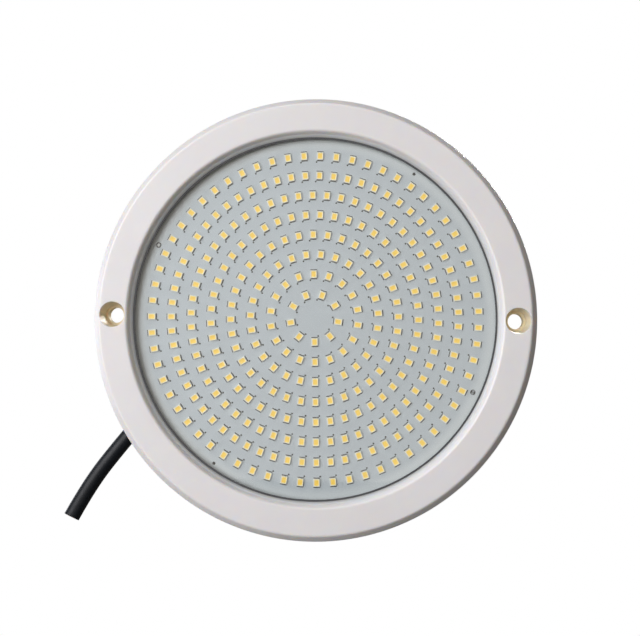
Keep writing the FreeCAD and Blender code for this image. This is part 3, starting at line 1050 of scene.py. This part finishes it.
def led_phosphor():
    bm = bmesh.new()
    rim_layer = bm.verts.layers.float.new("rim")
    loops = [rounded_loop(bm, HOLE_LONG, HOLE_WIDE, 0.5, LED_TOP - 0.24)]
    for share, depth, rim in ((1.0, 0.04, 1.0), (0.86, 0.07, 0.75), (0.62, 0.09, 0.0)):
        long = (HOLE_LONG + 0.14) * share
        wide = (HOLE_WIDE + 0.14) * share
        loop = rounded_loop(bm, long, wide, 0.53 * share, LED_TOP - depth)
        for vert in loop:
            vert[rim_layer] = rim
        loops.append(loop)
    for lower, upper in zip(loops, loops[1:]):
        bridge(bm, lower, upper)
    bm.faces.new(loops[-1])
    bm.faces.new(reversed(loops[0]))
    return mesh_from(bm, "led_phosphor")


led_rings("led_phosphor_fills", led_phosphor(), led_yellow, ["led_phosphors"])

# %% [markdown]
# Reflow solder climbs the two ends of each LED in a hollow slope. It is bright where it mirrors the
# lamp and nearly black where it mirrors the dark room. One slope is five rows of three points, from
# the LED's end down to the board, with flat faces behind and below.

# %% Solder
SOLDER_CURVE = ((1.7, 0.34), (1.78, 0.28), (1.84, 0.16), (1.92, 0.07), (2.0, 0.02))


def solder_slopes():
    bm = bmesh.new()
    half_wide = 1.3
    for side in (1, -1):
        rows = []
        for x, z in SOLDER_CURVE:
            narrow = half_wide - 0.4 * max(0.0, x - 1.8)
            rows.append([
                bm.verts.new((side * x * MM, side * y * MM, (BOARD_TOP + z) * MM))
                for y in (-narrow, 0.0, narrow)
            ])
        corners = (
            (1.7, -half_wide), (1.7, half_wide), (2.0, half_wide - 0.08), (2.0, 0.08 - half_wide)
        )
        foot = [
            bm.verts.new((side * x * MM, side * y * MM, BOARD_TOP * MM)) for x, y in corners
        ]
        for lower, upper in zip(rows, rows[1:]):
            for i in (0, 1):
                bm.faces.new((lower[i], upper[i], upper[i + 1], lower[i + 1]))
        bm.faces.new([row[0] for row in reversed(rows)] + [foot[0], foot[3]])
        bm.faces.new([row[2] for row in rows] + [foot[2], foot[1]])
        bm.faces.new([foot[0]] + rows[0] + [foot[1]])
        bm.faces.new([foot[3]] + rows[-1] + [foot[2]])
        bm.faces.new(foot)
    bmesh.ops.recalc_face_normals(bm, faces=bm.faces)
    return mesh_from(bm, "solder_slopes")


led_rings("led_solder", solder_slopes(), tin_solder, sharp_angle=60)

# %% [markdown]
# Just past the solder the board carries a printed line along each end of the LED, and beside the inner
# end a printed dot that marks the cathode. Screen ink stands on the mask, so each mark is a thin slab.

# %% Printed marks
INK_THICK = 0.02
DOT_R = 0.4
DOT_PLACE = (-2.72, 1.62)
LINE_LONG = 2.9
LINES = ((2.08, 0.36), (-2.12, 0.34))


def on_board(x, y):
    """A matrix that takes a mark's middle to its place on the board."""
    return Matrix.Translation(Vector((x, y, BOARD_TOP + INK_THICK / 2)) * MM)


def board_marks():
    bm = bmesh.new()
    bmesh.ops.create_cone(
        bm, cap_ends=True, segments=14, radius1=DOT_R * MM, radius2=DOT_R * MM,
        depth=INK_THICK * MM, matrix=on_board(*DOT_PLACE),
    )
    for x, wide in LINES:
        size = Matrix.Diagonal((wide * MM, LINE_LONG * MM, INK_THICK * MM, 1.0))
        bmesh.ops.create_cube(bm, size=1.0, matrix=on_board(x, 0.0) @ size)
    return mesh_from(bm, "board_marks")


led_rings("board_print", board_marks(), board_ink)

# %% [markdown]
# ## Fixings on the back
#
# Eight pan-head screws pull the shell to the ring. The head is turned like the ring, from an outline
# spun about its axis, and a boolean sinks the cross for the driver. One tree cuts the cross once and
# then sets the screw round the circle.

# %% Assembly screws
SCREW_OUTLINE = (
    (0.0, 0.2), (1.9, 0.2), (2.3, 0.32), (2.6, 0.6), (2.7, 0.95), (2.7, 1.4),
    (1.45, 1.4), (1.45, 8.0), (0.9, 8.6), (0.0, 8.6),
)


def screw_mesh():
    bm = bmesh.new()
    chain = [bm.verts.new((r * MM, 0, z * MM)) for r, z in SCREW_OUTLINE]
    edges = [bm.edges.new(pair) for pair in zip(chain, chain[1:])]
    bmesh.ops.spin(
        bm, geom=chain + edges, axis=(0, 0, 1), cent=(0, 0, 0), steps=32, angle=math.tau,
    )
    bmesh.ops.remove_doubles(bm, verts=bm.verts, dist=0.001 * MM)
    bmesh.ops.recalc_face_normals(bm, faces=bm.faces)
    return mesh_from(bm, "screw")


screw_tree, screw_in = new_tree("screws_in_a_circle", Count="Int", Radius="Float", First="Float")
slots = [
    node(screw_tree, "GeometryNodeMeshCube", {"Size": Vector(size) * MM}).outputs[0]
    for size in ((3.0, 0.6, 1.6), (0.6, 3.0, 1.6))
]
driver_cross = boolean(screw_tree, "DIFFERENCE", screw_in["Geometry"], slots)
around = in_a_circle(
    screw_tree, driver_cross, screw_in["Count"], screw_in["Radius"], screw_in["First"]
)
end_tree(screw_tree, around, stainless)
screws = grow(
    "pan_head_screws", screw_tree, screw_mesh(),
    Count=SCREW_COUNT, Radius=SCREW_CIRCLE_R * MM, First=FIRST_SCREW,
)
finish_piece(screws, stainless, 35, ["assembly_screws"])

# %% [markdown]
# ## The room
#
# A pale floor lies well below the light, and the surround is white, as in a product picture. To the
# camera both are plain white. To everything else the room in front glows softly and the rest is dim,
# so the sides that face away from the lamp turn grey and show their shape.

# %% World
WHITE = (1.0, 1.0, 1.0, 1.0)


def two_sided(tree, for_rest, for_camera, output_kind):
    """Show the camera one shader and every other ray another."""
    rays = node(tree, "ShaderNodeLightPath")
    blend = node(
        tree, "ShaderNodeMixShader",
        {0: rays.outputs["Is Camera Ray"], 1: for_rest.outputs[0], 2: for_camera.outputs[0]},
    )
    node(tree, output_kind, {"Surface": blend.outputs[0]})


world = bpy.data.worlds.new("room")
bpy.context.scene.world = world
world.use_nodes = True
air = world.node_tree
air.nodes.clear()
direction = node(air, "ShaderNodeTexCoord").outputs["Generated"]
forward = node(
    air, "ShaderNodeVectorMath", {0: direction, 1: (0.0, -1.0, 0.0)}, operation="DOT_PRODUCT"
).outputs["Value"]
ahead = node(air, "ShaderNodeMath", {0: forward, 1: 0.0}, operation="MAXIMUM").outputs[0]
pool = node(air, "ShaderNodeMath", {0: ahead, 1: 4.0}, operation="POWER").outputs[0]
level = node(
    air, "ShaderNodeMath", {0: pool, 1: 0.75, 2: 0.045}, operation="MULTIPLY_ADD"
).outputs[0]
felt = node(air, "ShaderNodeBackground", {"Color": colour("FFF5EA"), "Strength": level})
seen = node(air, "ShaderNodeBackground", {"Color": WHITE, "Strength": 1.0})
two_sided(air, felt, seen, "ShaderNodeOutputWorld")
print("world", len(air.nodes), "nodes")

# %% [markdown]
# The light hangs on a wall, so the floor is well below it. It is painted a warm grey, which throws only
# a little light back up, and it is no part of the light.

# %% Floor
FLOOR_Z = -0.47

floor_material = bpy.data.materials.new("painted_floor")
floor_material.use_nodes = True
paint = floor_material.node_tree
paint.nodes.clear()
matt = node(paint, "ShaderNodeBsdfDiffuse", {"Color": colour("6E6C69")})
lit = node(paint, "ShaderNodeEmission", {"Color": WHITE, "Strength": 1.0})
two_sided(paint, matt, lit, "ShaderNodeOutputMaterial")

floor_mesh = bpy.data.meshes.new("floor")
floor_mesh.from_pydata(
    [(x, y, FLOOR_Z) for x, y in ((-3, -3), (3, -3), (3, 3), (-3, 3))], [], [(0, 1, 2, 3)]
)
floor_mesh.materials.append(floor_material)
floor = new_object("floor", floor_mesh)
print("floor at", FLOOR_Z, "m")

# %% [markdown]
# One broad soft lamp stands far to the left of the viewer and a little above, so the left of the ring
# is the brightest and its edges fall into shade one after another. A small lamp overhead picks out the
# top edge, and two lamps behind light only the wall side.

# %% Lamps


def lamp(name, place, aim, size, power, tone):
    data = bpy.data.lights.new(name, "AREA")
    data.shape = "DISK"
    data.size = size
    data.energy = power
    data.color = colour(tone)[:3]
    made = new_object(name, data)
    made.location = place
    made.rotation_euler = (Vector(aim) - Vector(place)).to_track_quat("-Z", "Y").to_euler()
    print(name, "lamp", power, "W")


KEY_DIRECTION = Vector((-0.67, -0.72, 0.18)).normalized()
lamp("key", KEY_DIRECTION * 2.4, (0, 0, 0), 2.5, 70.0, "FDFCFF")
lamp("top_card", (0.0, -0.25, 0.75), (0, 0, 0), 0.3, 0.5, "FFFFFF")
lamp("back_key", (0.55, 1.3, 0.65), (0, 0.02, 0), 0.7, 15.0, "FFFDFA")
lamp("back_fill", (-1.1, 0.9, -0.1), (0, 0.02, 0), 1.0, 5.0, "F6F9FF")
bpy.context.scene.view_settings.view_transform = "Standard"
bpy.context.scene.view_settings.look = "None"
